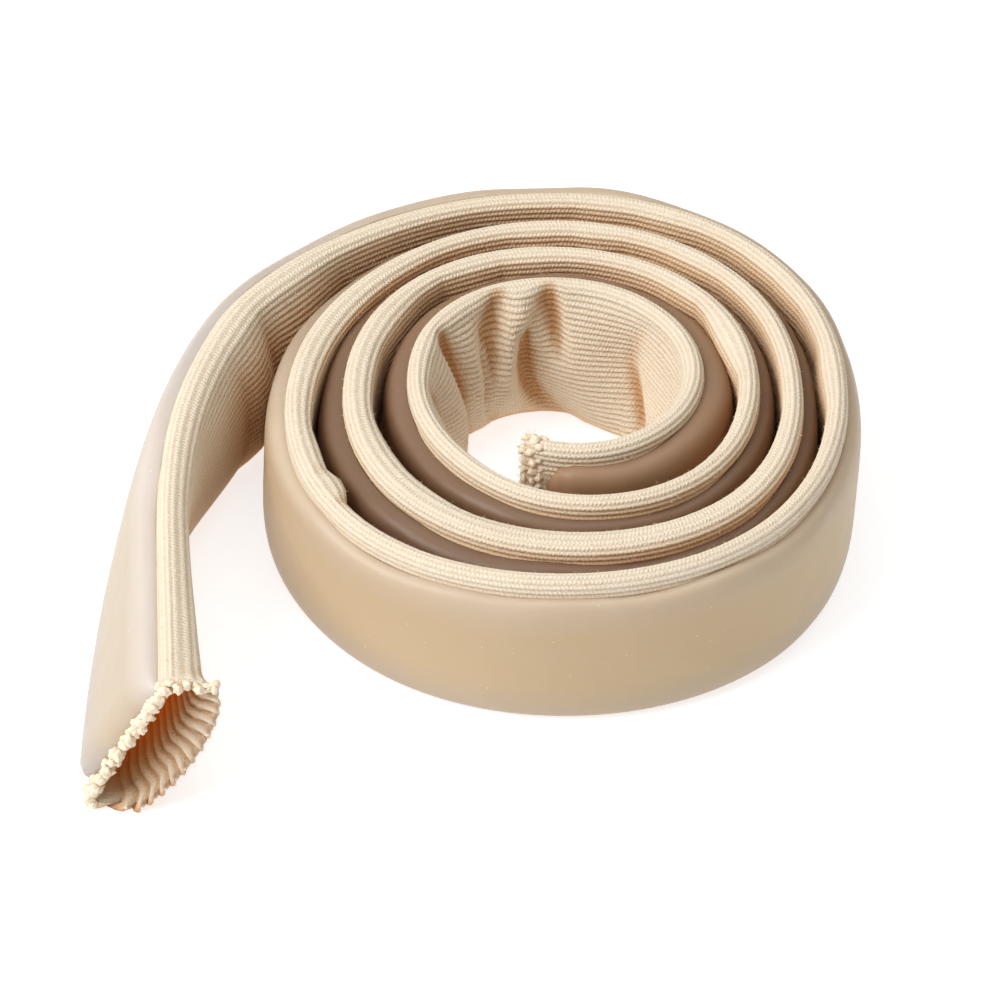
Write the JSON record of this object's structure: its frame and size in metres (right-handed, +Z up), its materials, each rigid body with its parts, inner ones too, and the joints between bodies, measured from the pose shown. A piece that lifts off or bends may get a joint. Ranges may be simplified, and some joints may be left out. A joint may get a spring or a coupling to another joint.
{
  "type": "toe tube bandage",
  "caption": "Ribbed knitted tube bandage with a gel coat on one side, pressed flat and wound into a loose coil with a free open end, cut to length to cushion toes.",
  "frame": {"origin": "middle of the object's box, on the floor it rests on", "axes": "+Z up along the standing width of the tube, -Y towards the viewer and out of the open mouth, +X to the viewer's right"},
  "size_m": [0.1052, 0.1, 0.0246],
  "materials": {
    "knit": "matt beige rib knit in stretch cotton",
    "gel": "smooth milky soft gel"
  },
  "bodies": {
    "root": {"knit_tube": "knit", "gel_coat": "gel"}
  },
  "joints": []
}
